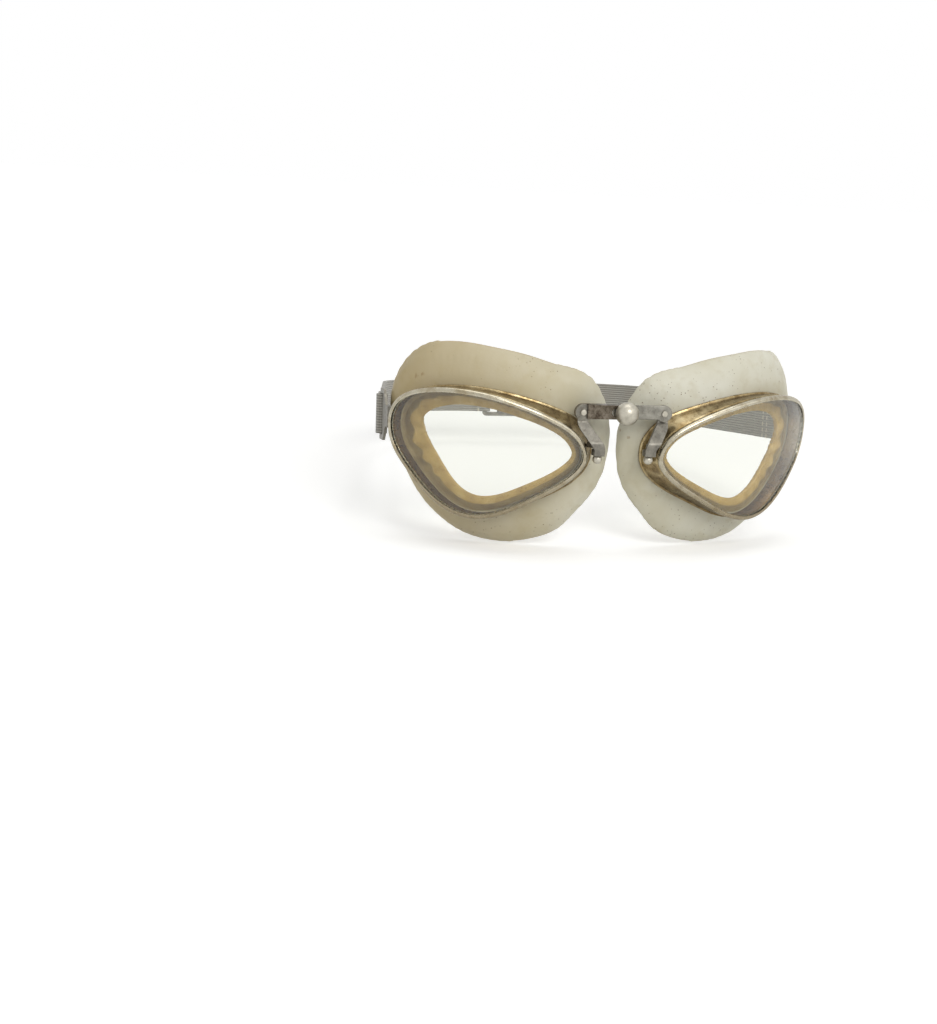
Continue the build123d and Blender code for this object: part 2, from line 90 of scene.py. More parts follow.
# %% Camera
TURN, RAISE, ROLL = math.radians(12.8), math.radians(15.0), math.radians(-3.64)
DISTANCE, FOCAL_PX, WIDE, HIGH = 520.0, 1442.5, 937, 1024
KNOB_PX = (627.4, 414.1)
KNOB_CENTRE = Vector((0, -20, 0))
SENSOR = 36
NEAREST = 0.01

right = Vector((math.cos(TURN), -math.sin(TURN), 0))
level = Vector((math.sin(TURN), math.cos(TURN), 0))
ahead = level * math.cos(RAISE) - Vector((0, 0, math.sin(RAISE)))
down = ahead.cross(right)
cam_right = right * math.cos(ROLL) + down * math.sin(ROLL)
cam_down = down * math.cos(ROLL) - right * math.sin(ROLL)
aside = (KNOB_PX[0] - WIDE / 2) / FOCAL_PX * DISTANCE
drop = (KNOB_PX[1] - HIGH / 2) / FOCAL_PX * DISTANCE
eye = KNOB_CENTRE - cam_right * aside - cam_down * drop - ahead * DISTANCE
bpy.ops.object.camera_add()
camera = bpy.context.object
camera.name = "camera"
facing = Matrix((cam_right, -cam_down, -ahead)).transposed()
camera.matrix_world = Matrix.Translation(eye * MM) @ facing.to_4x4()
camera.data.sensor_fit = "HORIZONTAL"
camera.data.sensor_width = SENSOR
camera.data.lens = FOCAL_PX / WIDE * SENSOR
camera.data.clip_start = NEAREST
scene.camera = camera
print("camera at", [round(c, 1) for c in eye])

# %% [markdown]
# ## Small helpers
# One function turns a hex colour to the linear values that the shader wants, one feeds
# the sockets of a node, and one adds a node.

# %% Helpers for materials
RGBA = {"data_type": "RGBA"}
LARGER = {"operation": "MAXIMUM"}


def colour(code):
    """Linear red, green, blue and alpha of an sRGB hex colour."""
    parts = [int(code[i:i + 2], 16) / 255 for i in (1, 3, 5)]
    return [c / 12.92 if c <= 0.04045 else ((c + 0.055) / 1.055) ** 2.4 for c in parts] + [1]


def grain(size_mm):
    """Scale of a pattern whose grains are about size_mm across."""
    return 1 / (size_mm * MM)


def feed(made, **links):
    """Gives sockets their values, or links them. A node stands for its first output."""
    for name, value in links.items():
        numbered = name[0] == "i" and name[1:].isdigit()
        socket = made.inputs[int(name[1:]) if numbered else name.replace("_", " ")]
        if isinstance(value, bpy.types.Node):
            value = value.outputs[0]
        if isinstance(value, bpy.types.NodeSocket):
            made.id_data.links.new(value, socket)
        else:
            socket.default_value = colour(value) if isinstance(value, str) else value


def node(owner, kind, settings=None, stops=(), **links):
    """Adds a node with its own settings, the stops of its ramp, and its sockets' links."""
    made = owner.node_tree.nodes.new("ShaderNode" + kind)
    for name, value in (settings or {}).items():
        setattr(made, name, value)
    if stops:
        points = made.color_ramp.elements
        while len(points) < len(stops):
            points.new(0.5)
        for point, (spot, tone) in zip(points, stops):
            point.position = spot
            point.color = colour(tone) if isinstance(tone, str) else (tone, tone, tone, 1)
    feed(made, **links)
    return made


def new_material(name, **shader):
    """A material with one Principled shader, whose uniform values stand on its sockets."""
    made = bpy.data.materials.new(name)
    made.use_nodes = True
    body = made.node_tree.nodes["Principled BSDF"]
    feed(body, **shader)
    return made, body


# %% [markdown]
# ## Worn nickel plate
# The rims and the side bands are brass, plated with nickel. A century of handling has dulled the
# plate, left brown stain and rubbed it through to the brass in patches. Brown in the concave
# corners is partly that stain and partly painted shade. The lower parts are painted browner, as
# painted shade and a painted dark reflection. So the metal's colour runs from silver through
# brass to brown, and its gloss goes with it.

# %% Nickel over brass
LOW_SHADE_FROM, LOW_SHADE_TO = -0.014, -0.036
INNER_WALL_REFLECTED_BROWN = "#7d6238"
SCRATCH_MM, SCRATCH_DEPTH_MM = 0.35, 0.006


def plated_metal(name, silver, brass, stain, wear, gloss, dirt):
    """Brass shows where the clouds pass wear. Gloss is the polish, dirt the most stain."""
    metal, body = new_material(name, Metallic=1.0)
    where = node(metal, "TexCoord").outputs["Object"]
    cloud = node(metal, "TexNoise", Vector=where, Scale=grain(7), Detail=5, Roughness=0.6)
    patches = node(metal, "ValToRGB", stops=((wear - 0.18, 0.0), (wear + 0.18, 1.0)), Fac=cloud)
    plate = node(metal, "Mix", RGBA, i0=patches, i6=silver, i7=brass).outputs[2]
    # The lower parts are painted browner and darker towards the bottom: painted shade and a
    # painted dark reflection.
    height = node(metal, "SeparateXYZ", Vector=where).outputs[2]
    low = node(metal, "MapRange", Value=height, From_Min=LOW_SHADE_FROM, From_Max=LOW_SHADE_TO,
               To_Min=0.0, To_Max=0.7)
    rubbed_and_shade = node(metal, "Mix", RGBA, i0=0.5, i6=brass, i7=stain).outputs[2]
    base = node(metal, "Mix", RGBA, i0=low, i6=plate, i7=rubbed_and_shade).outputs[2]
    soil = node(metal, "TexNoise", Vector=where, Scale=grain(3.5), Detail=6, Roughness=0.65)
    grime = node(metal, "ValToRGB", stops=((0.44, 0.0), (0.72, dirt)), Fac=soil)
    dirty = node(metal, "Mix", RGBA, i0=grime, i6=base, i7=stain).outputs[2]
    # Concave corners are painted darker in the stain colour: partly real stain, partly painted
    # shade in the hollows.
    hollow = node(metal, "NewGeometry").outputs["Pointiness"]
    corner_shade = node(metal, "ValToRGB", stops=((0.49, 1.0), (0.515, 0.0)), Fac=hollow)
    corner_shade_tone = node(metal, "Mix", RGBA, i0=0.45, i6=dirty, i7=stain).outputs[2]
    dark = node(metal, "Mix", RGBA, i0=corner_shade, i6=dirty, i7=corner_shade_tone).outputs[2]
    # The inner walls are painted brown: a painted reflection of the ochre lip.
    inner = node(metal, "Attribute", {"attribute_name": "inner_side"}).outputs["Fac"]
    browned = node(metal, "Mix", RGBA, i0=0.7, i6=dark, i7=INNER_WALL_REFLECTED_BROWN).outputs[2]
    coat = node(metal, "Mix", RGBA, i0=inner, i6=dark, i7=browned).outputs[2]
    smear = node(metal, "TexNoise", Vector=where, Scale=grain(1.4), Detail=6, Roughness=0.7)
    shine = node(metal, "ValToRGB", stops=((0.3, gloss - 0.08), (0.75, gloss + 0.22)), Fac=smear)
    drawn = node(metal, "Mapping", Vector=where, Scale=(0.25, 1, 1.6))
    scratches = node(metal, "TexNoise", Vector=drawn, Scale=grain(SCRATCH_MM), Detail=4,
                     Roughness=0.7)
    relief = node(metal, "Bump", Height=scratches, Distance=SCRATCH_DEPTH_MM * MM, Strength=1.0)
    feed(body, Base_Color=coat, Roughness=shine, Normal=relief)
    return metal


nickel_bead = plated_metal("worn_nickel_bead", "#b6b09e", "#98896a", "#5d4f3a",
                           wear=0.62, gloss=0.2, dirt=0.25)
brass_wall = plated_metal("rubbed_brass_wall", "#bbae8c", "#967f54", "#3c2f1e",
                          wear=0.46, gloss=0.26, dirt=0.7)
print("plated finishes", nickel_bead.name, brass_wall.name)

# %% [markdown]
# ## Steel of the bridge
# The plates and arms are plain rolled steel, grey and pitted with old rust stain. The left
# front plate has browned most. The knob, the pins and the rivets are dull nickel, which
# has the same build in paler tones.

# %% Grey steel
PIT_DEPTH_MM = 0.02


def old_steel(name, light, dark, rust, amount, rough, grit_mm=0.5):
    """Amount is how much of the surface has rusted, rough its roughness, grit_mm its pits."""
    steel, body = new_material(name, Metallic=0.85)
    where = node(steel, "TexCoord").outputs["Object"]
    cloud = node(steel, "TexNoise", Vector=where, Scale=grain(3), Detail=5, Roughness=0.65)
    shade = node(steel, "ValToRGB", stops=((0.35, 0.0), (0.65, 1.0)), Fac=cloud)
    base = node(steel, "Mix", RGBA, i0=shade, i6=light, i7=dark).outputs[2]
    bloom = node(steel, "TexNoise", Vector=where, Scale=grain(1.6), Detail=6, Roughness=0.75)
    stained = node(steel, "ValToRGB", stops=((0.9 - amount, 0.0), (1.1 - amount, 1.0)), Fac=bloom)
    browned = node(steel, "Mix", RGBA, i0=stained, i6=base, i7=rust).outputs[2]
    touch = node(steel, "TexNoise", Vector=where, Scale=grain(5), Detail=4, Roughness=0.6)
    rubbed_and_shade = node(steel, "ValToRGB", stops=((0.55, 0.0), (0.75, 0.6)), Fac=touch)
    bright = node(steel, "Mix", RGBA, i0=rubbed_and_shade, i6=browned, i7=light).outputs[2]
    smear = node(steel, "TexNoise", Vector=where, Scale=grain(0.8), Detail=5, Roughness=0.7)
    shine = node(steel, "ValToRGB", stops=((0.3, rough - 0.1), (0.7, rough + 0.15)), Fac=smear)
    pits = node(steel, "TexNoise", Vector=where, Scale=grain(grit_mm), Detail=5, Roughness=0.7)
    relief = node(steel, "Bump", Height=pits, Distance=PIT_DEPTH_MM * MM, Strength=1.0)
    feed(body, Base_Color=bright, Roughness=shine, Normal=relief)
    return steel


plate_steel = old_steel("rolled_grey_steel", "#97948a", "#75726a", "#52493a", 0.35, 0.35)
brown_steel = old_steel("browned_steel", "#80776a", "#574e42", "#3d3329", 0.46, 0.36)
arm_steel = old_steel("flat_grey_steel", "#878379", "#69665e", "#4b4436", 0.36, 0.40)
dull_nickel = old_steel("dull_nickel", "#c3beb0", "#a39e91", "#736a5a", 0.30, 0.38, 0.7)

# %% [markdown]
# ## Glass
# The glasses are bent plate glass, clear with a faint grey, finely scratched by wiping.
# They let shadow rays through, or the pads behind them would be dark.

# %% Scratched glass
def bent_glass(name):
    glass, body = new_material(name, Transmission_Weight=1.0, IOR=1.5, Base_Color="#f4f5ef")
    where = node(glass, "TexCoord").outputs["Object"]
    wiped = node(glass, "Mapping", Vector=where, Scale=(0.06, 0.5, 1.4))
    lines = node(glass, "TexNoise", Vector=wiped, Scale=grain(0.5), Detail=5, Roughness=0.8)
    marks = node(glass, "ValToRGB", stops=((0.60, 0.0), (0.74, 0.16)), Fac=lines)
    cloud = node(glass, "TexNoise", Vector=where, Scale=grain(9), Detail=3, Roughness=0.5)
    smudge = node(glass, "ValToRGB", stops=((0.4, 0.0), (0.8, 0.05)), Fac=cloud)
    haze = node(glass, "Math", {"operation": "ADD"}, i0=marks, i1=smudge)
    feed(body, Roughness=haze)
    shadow = node(glass, "LightPath").outputs["Is Shadow Ray"]
    clear = node(glass, "BsdfTransparent", Color="#e9ece8")
    both = node(glass, "MixShader", i0=shadow, i1=body, i2=clear)
    feed(glass.node_tree.nodes["Material Output"], Surface=both)
    return glass


clear_glass = bent_glass("bent_plate_glass")

# %% [markdown]
# ## Moulded rubber
# The pads are moulded rubber, cream where it faces out and aged to ochre on the lip round the
# eye. Old rubber is satin, with brown pits and darker, oxidised edges. Towards the left the
# rubber is painted yellower and darker, partly real yellowing and partly painted shade.

# %% Aged rubber
LEFT_YELLOW_SHADE_FROM, LEFT_YELLOW_SHADE_TO = 0.0, -0.08
PIT_MM = 1.5


def moulded_rubber(name):
    rubber, body = new_material(name, IOR=1.52)
    where = node(rubber, "TexCoord").outputs["Object"]
    drift = node(rubber, "TexNoise", Vector=where, Scale=grain(26), Detail=4, Roughness=0.5)
    tone = node(rubber, "ValToRGB", Fac=drift,
                stops=((0.3, "#bdb69a"), (0.5, "#c9c5b1"), (0.72, "#d3d1c2")))
    cloud = node(rubber, "TexNoise", Vector=where, Scale=grain(6), Detail=5, Roughness=0.6)
    soiled = node(rubber, "ValToRGB", stops=((0.52, 0.0), (0.75, 0.3)), Fac=cloud)
    cloudy = node(rubber, "Mix", RGBA, i0=soiled, i6=tone, i7="#ab9c72").outputs[2]
    # Towards the left the colour is painted yellower and darker: partly yellowing, partly painted
    # shade of the side away from the light.
    along = node(rubber, "SeparateXYZ", Vector=where).outputs[0]
    left_yellow_shade = node(rubber, "MapRange", Value=along, From_Min=LEFT_YELLOW_SHADE_FROM, From_Max=LEFT_YELLOW_SHADE_TO,
                  To_Min=0.0, To_Max=0.85)
    yellowed_and_shaded = node(rubber, "Mix", RGBA, i0=left_yellow_shade, i6=cloudy, i7="#b29d6c").outputs[2]
    lip = node(rubber, "TexNoise", Vector=where, Scale=grain(5), Detail=5, Roughness=0.6)
    ochre = node(rubber, "ValToRGB", Fac=lip,
                 stops=((0.3, "#a5843f"), (0.6, "#bf9f5b"), (0.8, "#d0b87e")))
    shade = node(rubber, "TexNoise", Vector=where, Scale=grain(8), Detail=5, Roughness=0.6)
    shaded = node(rubber, "ValToRGB", stops=((0.35, "#7a6236"), (0.7, "#a08a5a")), Fac=shade)
    inner = node(rubber, "Attribute", {"attribute_name": "inner_share"}).outputs["Fac"]
    on_lip = node(rubber, "ValToRGB", stops=((0.46, 0.0), (0.53, 1.0)), Fac=inner)
    within = node(rubber, "ValToRGB", stops=((0.02, 0.0), (0.1, 1.0)), Fac=inner)
    hollow = node(rubber, "Mix", RGBA, i0=on_lip, i6=shaded, i7=ochre).outputs[2]
    coat = node(rubber, "Mix", RGBA, i0=within, i6=yellowed_and_shaded, i7=hollow).outputs[2]
    sharp = node(rubber, "NewGeometry").outputs["Pointiness"]
    edges = node(rubber, "ValToRGB", stops=((0.52, 0.0), (0.60, 1.0)), Fac=sharp)
    oxide = node(rubber, "Mix", RGBA, i0=0.45, i6=coat, i7="#8f6f40").outputs[2]
    edged = node(rubber, "Mix", RGBA, i0=edges, i6=coat, i7=oxide).outputs[2]
    pits = node(rubber, "TexVoronoi", {"feature": "F1"}, Vector=where, Scale=grain(PIT_MM),
                Randomness=1.0)
    spread = node(rubber, "TexNoise", Vector=where, Scale=grain(14), Detail=3, Roughness=0.5)
    sparse = node(rubber, "ValToRGB", stops=((0.5, 0.0), (0.57, 1.0)), Fac=spread)
    spot = node(rubber, "ValToRGB", stops=((0.07, 1.0), (0.16, 0.0)), Fac=pits)
    specks = node(rubber, "Math", {"operation": "MULTIPLY"}, i0=spot, i1=sparse)
    done = node(rubber, "Mix", RGBA, i0=specks, i6=edged, i7="#6b5030").outputs[2]
    smear = node(rubber, "TexNoise", Vector=where, Scale=grain(3), Detail=5, Roughness=0.6)
    shine = node(rubber, "ValToRGB", stops=((0.3, 0.40), (0.7, 0.58)), Fac=smear)
    skin = node(rubber, "TexNoise", Vector=where, Scale=grain(0.9), Detail=4, Roughness=0.6)
    fine = node(rubber, "Bump", Height=skin, Distance=0.06 * MM, Strength=1.0)
    sunk = node(rubber, "Bump", {"invert": True}, Height=specks, Distance=0.15 * MM,
                Strength=0.8, Normal=fine)
    feed(body, Base_Color=done, Roughness=shine, Normal=sunk)
    return rubber


cream_rubber = moulded_rubber("aged_cream_rubber")

# %% [markdown]
# ## Woven elastic
# The headband is flat elastic: cotton ribs run along it over rubber threads, about 1 mm
# apart, and the weft crosses them every 0.6 mm. A row of stitches holds each lap, given
# by its place along the elastic.

# %% Elastic webbing
RIB_MM, WEFT_MM, DASH_MM = 1.0, 0.6, 2.5
STITCH_ROWS_MM, STITCH_HALF_MM = (24.0, 26.8, 187.2), 0.35
WEFT_SHARE = 0.35


def woven_elastic(name):
    cloth, body = new_material(name, Roughness=0.85, Sheen_Weight=0.35, Sheen_Roughness=0.5)
    where = node(cloth, "TexCoord").outputs["Object"]
    weave = node(cloth, "UVMap", {"uv_map": "weave"})
    along, up, _ = node(cloth, "SeparateXYZ", Vector=weave).outputs
    waves = []
    for way, pitch in ((up, RIB_MM), (along, WEFT_MM), (up, DASH_MM)):
        turns = node(cloth, "Math", {"operation": "MULTIPLY"}, i0=way,
                     i1=2 * math.pi / (pitch * MM))
        waves.append(node(cloth, "Math", {"operation": "SINE"}, i0=turns))
    ribs, weft, dashes = waves
    cross = node(cloth, "Math", {"operation": "MULTIPLY_ADD"}, i0=weft, i1=WEFT_SHARE, i2=ribs)
    height = node(cloth, "MapRange", Value=cross, From_Min=-1 - WEFT_SHARE,
                  From_Max=1 + WEFT_SHARE)
    shade = node(cloth, "ValToRGB", Fac=height,
                 stops=((0.0, "#6d6a63"), (0.5, "#98958c"), (1.0, "#b8b5ab")))
    cloud = node(cloth, "TexNoise", Vector=where, Scale=grain(12), Detail=4, Roughness=0.6)
    dust = node(cloth, "ValToRGB", stops=((0.45, 0.0), (0.75, 0.5)), Fac=cloud)
    dusty = node(cloth, "Mix", RGBA, i0=dust, i6=shade, i7="#8d8475").outputs[2]
    rows = 0.0
    for length in STITCH_ROWS_MM:
        row = node(cloth, "Math", {"operation": "COMPARE"}, i0=along, i1=length * MM,
                   i2=STITCH_HALF_MM * MM)
        rows = node(cloth, "Math", LARGER, i0=row, i1=rows)
    drawn = node(cloth, "Math", {"operation": "GREATER_THAN"}, i0=dashes, i1=-0.4)
    thread = node(cloth, "Math", {"operation": "MULTIPLY"}, i0=rows, i1=drawn)
    sewn = node(cloth, "Mix", RGBA, i0=thread, i6=dusty, i7="#d3ccba").outputs[2]
    raised = node(cloth, "Math", {"operation": "ADD"}, i0=height, i1=thread)
    relief = node(cloth, "Bump", Height=raised, Distance=0.18 * MM, Strength=1.0)
    feed(body, Base_Color=sewn, Normal=relief)
    return cloth


grey_elastic = woven_elastic("woven_grey_elastic")

# %% [markdown]
# ## Metal pieces with real edges
# A CAD solid has knife edges, but sheet metal that has been cut, rolled and handled has
# none. Each metal piece is a copy of its solid, merged, with its edges rounded by a fine
# bevel, so that every edge catches a line of light. The rims and the side bands are
# curved all over, so they are subdivided as well.

# %% Finished copies
WELD_MM = 0.004
FLAT_ANGLE, SMOOTH_ANGLE = math.radians(0.5), math.radians(35)
CURVED_FACES, CURVED_SHAPES = math.radians(40), math.radians(60)


def working_copy(name, new_name):
    """Copies a CAD node, merges its points and leaves the copy open in edit mode."""
    bpy.ops.object.select_all(action="DESELECT")
    source = frame["nodes"][name]
    copy = source.copy()
    copy.data = source.data.copy()
    copy.parent = None
    copy.matrix_world = source.matrix_world
    copy.name = new_name
    scene.collection.objects.link(copy)
    bpy.context.view_layer.objects.active = copy
    copy.select_set(True)
    bpy.ops.object.mode_set(mode="EDIT")
    bpy.ops.mesh.select_all(action="SELECT")
    bpy.ops.mesh.remove_doubles(threshold=WELD_MM * MM)
    return copy


def subdivide(piece, levels):
    """Smooths a piece by subdivision and keeps the result."""
    flow = piece.modifiers.new("flow", "SUBSURF")
    flow.levels = flow.render_levels = levels
    bpy.ops.object.modifier_apply(modifier="flow")


def fine_copy(name, material, body, edge_mm, segments=2, angle=30, new_name=None,
              curve=0, cuts=()):
    """Copies a CAD node, merges it, rounds its edges and puts it in the node's place.

    Curve is the levels of subdivision, cuts the places along Y at which faces are cut."""
    copy = working_copy(name, new_name or name + "_finished")
    bpy.ops.mesh.normals_make_consistent(inside=False)
    bpy.ops.mesh.customdata_custom_splitnormals_clear()
    if curve:
        bpy.ops.mesh.tris_convert_to_quads(
            face_threshold=CURVED_FACES, shape_threshold=CURVED_SHAPES
        )
    else:
        bpy.ops.mesh.dissolve_limited(angle_limit=FLAT_ANGLE)
    if cuts:
        faces = bmesh.from_edit_mesh(copy.data)
        for y in cuts:
            everything = faces.verts[:] + faces.edges[:] + faces.faces[:]
            bmesh.ops.bisect_plane(
                faces, geom=everything, plane_co=(0, y, 0), plane_no=(0, 1, 0)
            )
        bmesh.update_edit_mesh(copy.data)
    bpy.ops.object.mode_set(mode="OBJECT")
    if edge_mm:
        rounded = copy.modifiers.new("edges", "BEVEL")
        rounded.width = edge_mm * MM
        rounded.segments = segments
        rounded.limit_method = "ANGLE"
        rounded.angle_limit = math.radians(angle)
        bpy.ops.object.modifier_apply(modifier="edges")
    if curve:
        subdivide(copy, curve)
    bpy.ops.object.shade_smooth_by_angle(angle=SMOOTH_ANGLE)
    if edge_mm:
        flat = copy.modifiers.new("flat", "WEIGHTED_NORMAL")
        flat.keep_sharp = True
        bpy.ops.object.modifier_apply(modifier="flat")
    copy.data.materials.clear()
    copy.data.materials.append(material)
    if body:
        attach(copy, body)
    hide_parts(name)
    return copy


for hand in ("right", "left"):
    fine_copy(hand + "_rim", nickel_bead, hand + "_eyepiece", 0.0, curve=2)
    fine_copy(hand + "_side_band", brass_wall, hand + "_eyepiece", 0.2, curve=1)
    fine_copy(hand + "_lens", clear_glass, hand + "_eyepiece", 0.0)
    fine_copy(hand + "_hinge_knuckle", arm_steel, hand + "_eyepiece", 0.15)
    fine_copy(hand + "_temple_loop", arm_steel, hand + "_eyepiece", 0.25, 3)
    fine_copy(hand + "_nose_arm", arm_steel, hand + "_arm", 0.2, 3)
    fine_copy(hand + "_hinge_pin", dull_nickel, hand + "_arm", 0.08)
    fine_copy(hand + "_pivot_rivet", dull_nickel, hand + "_plate", 0.2, 3)
fine_copy("right_bridge_plate", plate_steel, "right_plate", 0.18, 3)
fine_copy("left_bridge_plate", brown_steel, "left_plate", 0.18, 3)
fine_copy("clamp_knob", dull_nickel, "knob", 0.12, 3)
fine_copy("clamp_spindle", arm_steel, "clamp", 0.1)
fine_copy("clamp_washer", arm_steel, "clamp", 0.1)
fine_copy("clamp_nut", arm_steel, "clamp", 0.2)
fine_copy("headband_buckle", plate_steel, "clamp", 0.3, 3)
print("metal pieces finished")

# %% [markdown]
# The side bands' inner walls, which the glasses shelter, are painted browner, a painted
# reflection of the ochre lip around them. A value on each point, from which way it faces, tells
# the material which wall it is.

# %% Inner walls
BEND, LINE_X, LINE_Y = 82.0, 20.2, -19.3
SPOKES = 90
MIDDLE = (38.0, -15.0)
STEP_OUT_MM, NEARER_MM = 0.5, 0.1


def glass_place(point):
    """Arc along the glass, height, and depth behind it, in millimetres, on the right."""
    x, y, z = abs(point.x) / MM, point.y / MM, point.z / MM
    across, back = x - LINE_X, LINE_Y + BEND - y
    return BEND * math.atan2(across, back), z, BEND - math.hypot(across, back)


def glass_spoke(point):
    """The turn round the glass's middle at which a point lies, from 0 to 1, and how far out."""
    along, up, _ = glass_place(point)
    dx, dz = along - MIDDLE[0], up - MIDDLE[1]
    return (math.atan2(dz, dx) / (2 * math.pi) + 0.5) % 1, math.hypot(dx, dz)


for hand in ("right", "left"):
    band = bpy.data.objects[hand + "_side_band_finished"]
    faces_in = []
    for vertex in band.data.vertices:
        outside = vertex.co + vertex.normal * (STEP_OUT_MM * MM)
        gained = glass_spoke(vertex.co)[1] - glass_spoke(outside)[1]
        faces_in.append(1.0 if gained > NEARER_MM else 0.0)
    band.data.attributes.new("inner_side", "FLOAT", "POINT").data.foreach_set("value", faces_in)
    print(band.name, "inner points", int(sum(faces_in)))

# %% [markdown]
# ## Face pads
# Each pad is one soft moulding. The solid is copied and its ridges are faired along the
# ring, creased a little and subdivided, so that every edge becomes round as moulded
# rubber's does. Then the inner lip gets its folds at the temple. A value on each point
# says how far inside the glass it lies, for the ochre of the inner lip.

# %% Shape of the glass, for the inner lip
def between(table, turn):
    """Value at a turn, between the middles of the two nearest spokes."""
    spot = turn * SPOKES - 0.5
    low = math.floor(spot)
    return table[low % SPOKES] * (1 - spot + low) + table[(low + 1) % SPOKES] * (spot - low)


# %% Pads
PAD_FACES, PAD_SHAPES = math.radians(120), math.radians(150)
RIDGE_ANGLE, ALONG_SHARE, RIDGE_CREASE = math.radians(38), 0.6, 0.5
FAIRING = (0.5, -0.53) * 6
PAD_LEVELS, RELAX_ROUNDS = 2, 9
FOLDS, FOLD_MM, FOLD_FROM, FOLD_TO = 19, 0.4, 0.15, 0.85
EDGE_WAVE, WAVE_FROM, WAVE_OVER = 0.07, 0.1, 0.3
FAR = 1000.0


def soft_pad(name, body):
    """Makes the rubber pad that takes the place of a face pad's solid."""
    pad = working_copy(name, name + "_rubber")
    bpy.ops.mesh.tris_convert_to_quads(face_threshold=PAD_FACES, shape_threshold=PAD_SHAPES)
    faces = bmesh.from_edit_mesh(pad.data)
    creases = faces.edges.layers.float.new("crease_edge")
    for edge in faces.edges:
        (turn, reach), (next_turn, next_reach) = [glass_spoke(v.co) for v in edge.verts]
        share_turned = abs((turn - next_turn + 0.5) % 1 - 0.5)
        swing = share_turned * math.pi * (reach + next_reach) * MM
        if edge.calc_face_angle(0) > RIDGE_ANGLE and swing > ALONG_SHARE * edge.calc_length():
            edge[creases] = RIDGE_CREASE
    ridges = {v: [e.other_vert(v) for e in v.link_edges if e[creases] > 0] for v in faces.verts}
    ridges = {v: ends for v, ends in ridges.items() if len(ends) == 2}
    for pull in FAIRING:
        moved = {v: v.co + ((a.co + b.co) / 2 - v.co) * pull for v, (a, b) in ridges.items()}
        for v, spot in moved.items():
            v.co = spot
    bmesh.update_edit_mesh(pad.data)
    bpy.ops.object.mode_set(mode="OBJECT")
    subdivide(pad, PAD_LEVELS)
    relax = pad.modifiers.new("relax", "SMOOTH")
    relax.factor = 0.5
    relax.iterations = RELAX_ROUNDS
    bpy.ops.object.modifier_apply(modifier="relax")
    rim = bpy.data.objects[name.replace("face_pad", "rim_finished")]
    outer, hole = [0.0] * SPOKES, [FAR] * SPOKES
    for vertex in rim.data.vertices:
        turn, reach = glass_spoke(vertex.co)
        spoke = int(turn * SPOKES) % SPOKES
        outer[spoke] = max(outer[spoke], reach - 1.0)
    for vertex in pad.data.vertices:
        turn, reach = glass_spoke(vertex.co)
        spoke = int(turn * SPOKES) % SPOKES
        hole[spoke] = min(hole[spoke], reach)
    values = []
    normals = [n.vector.copy() for n in pad.data.vertex_normals]
    for vertex, normal in zip(pad.data.vertices, normals):
        turn, reach = glass_spoke(vertex.co)
        edge = between(outer, turn)
        share = (edge - reach) / (edge - between(hole, turn))
        temple = max(0.0, math.cos((turn - 0.5) * 2 * math.pi)) ** 2
        ripple = math.sin(turn * 2 * math.pi * FOLDS) * temple
        if FOLD_FROM < share < FOLD_TO:
            swell = math.sin((share - FOLD_FROM) / (FOLD_TO - FOLD_FROM) * math.pi)
            vertex.co += normal * (FOLD_MM * MM * ripple * swell)
        wave = EDGE_WAVE * ripple * min(max((share - WAVE_FROM) / WAVE_OVER, 0), 1)
        values.append(share + wave)
    pad.data.attributes.new("inner_share", "FLOAT", "POINT").data.foreach_set("value", values)
    bpy.ops.object.shade_smooth()
    pad.data.materials.clear()
    pad.data.materials.append(cream_rubber)
    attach(pad, body)
    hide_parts(name)
    return pad


for hand in ("right", "left"):
    made = soft_pad(hand + "_face_pad", hand + "_eyepiece")
    print(made.name, len(made.data.polygons))

# %% [markdown]
# ## Headband
# The elastic is a flat strap that goes round the bar of the temple loop in front and of the
# buckle behind, and each end is sewn back on itself. Its solid is copied, its straight side is
# cut across every 4 mm, and each half is parted into three lengths.

# %% Path of the elastic
STRAP_START = (12.12, -9.0)
STRAP_FALL = math.radians(7.5)
SIDE_END = (66.0, 112.0)
STRAP_BACK, BACK_X, BACK_RADIUS = 156.0, 14.0, 52.72
ARC_MARGIN = 6


def strap_place(point):
    """How far along the elastic a point lies, and how high on it, in metres."""
    x, y, z = abs(point.x) / MM, point.y / MM - STRAP_START[0], point.z / MM - STRAP_START[1]
    level = y * math.cos(STRAP_FALL) - z * math.sin(STRAP_FALL)
    height = y * math.sin(STRAP_FALL) + z * math.cos(STRAP_FALL)
    centre = STRAP_BACK - BACK_RADIUS
    first = math.atan2(SIDE_END[1] - centre, SIDE_END[0] - BACK_X)
    if x < BACK_X:
        length = SIDE_END[1] + BACK_RADIUS * (math.pi / 2 - first) + BACK_X - x
    elif level > SIDE_END[1] - ARC_MARGIN:
        length = SIDE_END[1] + BACK_RADIUS * (math.atan2(level - centre, x - BACK_X) - first)
    else:
        length = level
    return length * MM, height * MM


# %% Lengths of the elastic
def back_point(x, sign):
    """Middle of the elastic on its rear arc, x millimetres from the middle plane."""
    level = STRAP_BACK - BACK_RADIUS + math.sqrt(BACK_RADIUS ** 2 - (x - BACK_X) ** 2)
    ahead, down = level * math.cos(STRAP_FALL), level * math.sin(STRAP_FALL)
    return Vector((sign * x, STRAP_START[0] + ahead, STRAP_START[1] - down)) * MM


def keep_between(piece, sign, first, last):
    """Cuts the elastic off before the first place and after the last, and closes its ends."""
    faces = bmesh.new()
    faces.from_mesh(piece.data)
    for x, way in ((first, -1), (last, 1)):
        if x is None:
            continue
        point = back_point(x, sign)
        heading = (back_point(x - 1, sign) - point) * way
        everything = faces.verts[:] + faces.edges[:] + faces.faces[:]
        bmesh.ops.bisect_plane(
            faces, geom=everything, plane_co=point, plane_no=heading, clear_outer=True
        )
        bmesh.ops.holes_fill(faces, edges=[e for e in faces.edges if e.is_boundary], sides=0)
    faces.to_mesh(piece.data)
    faces.free()
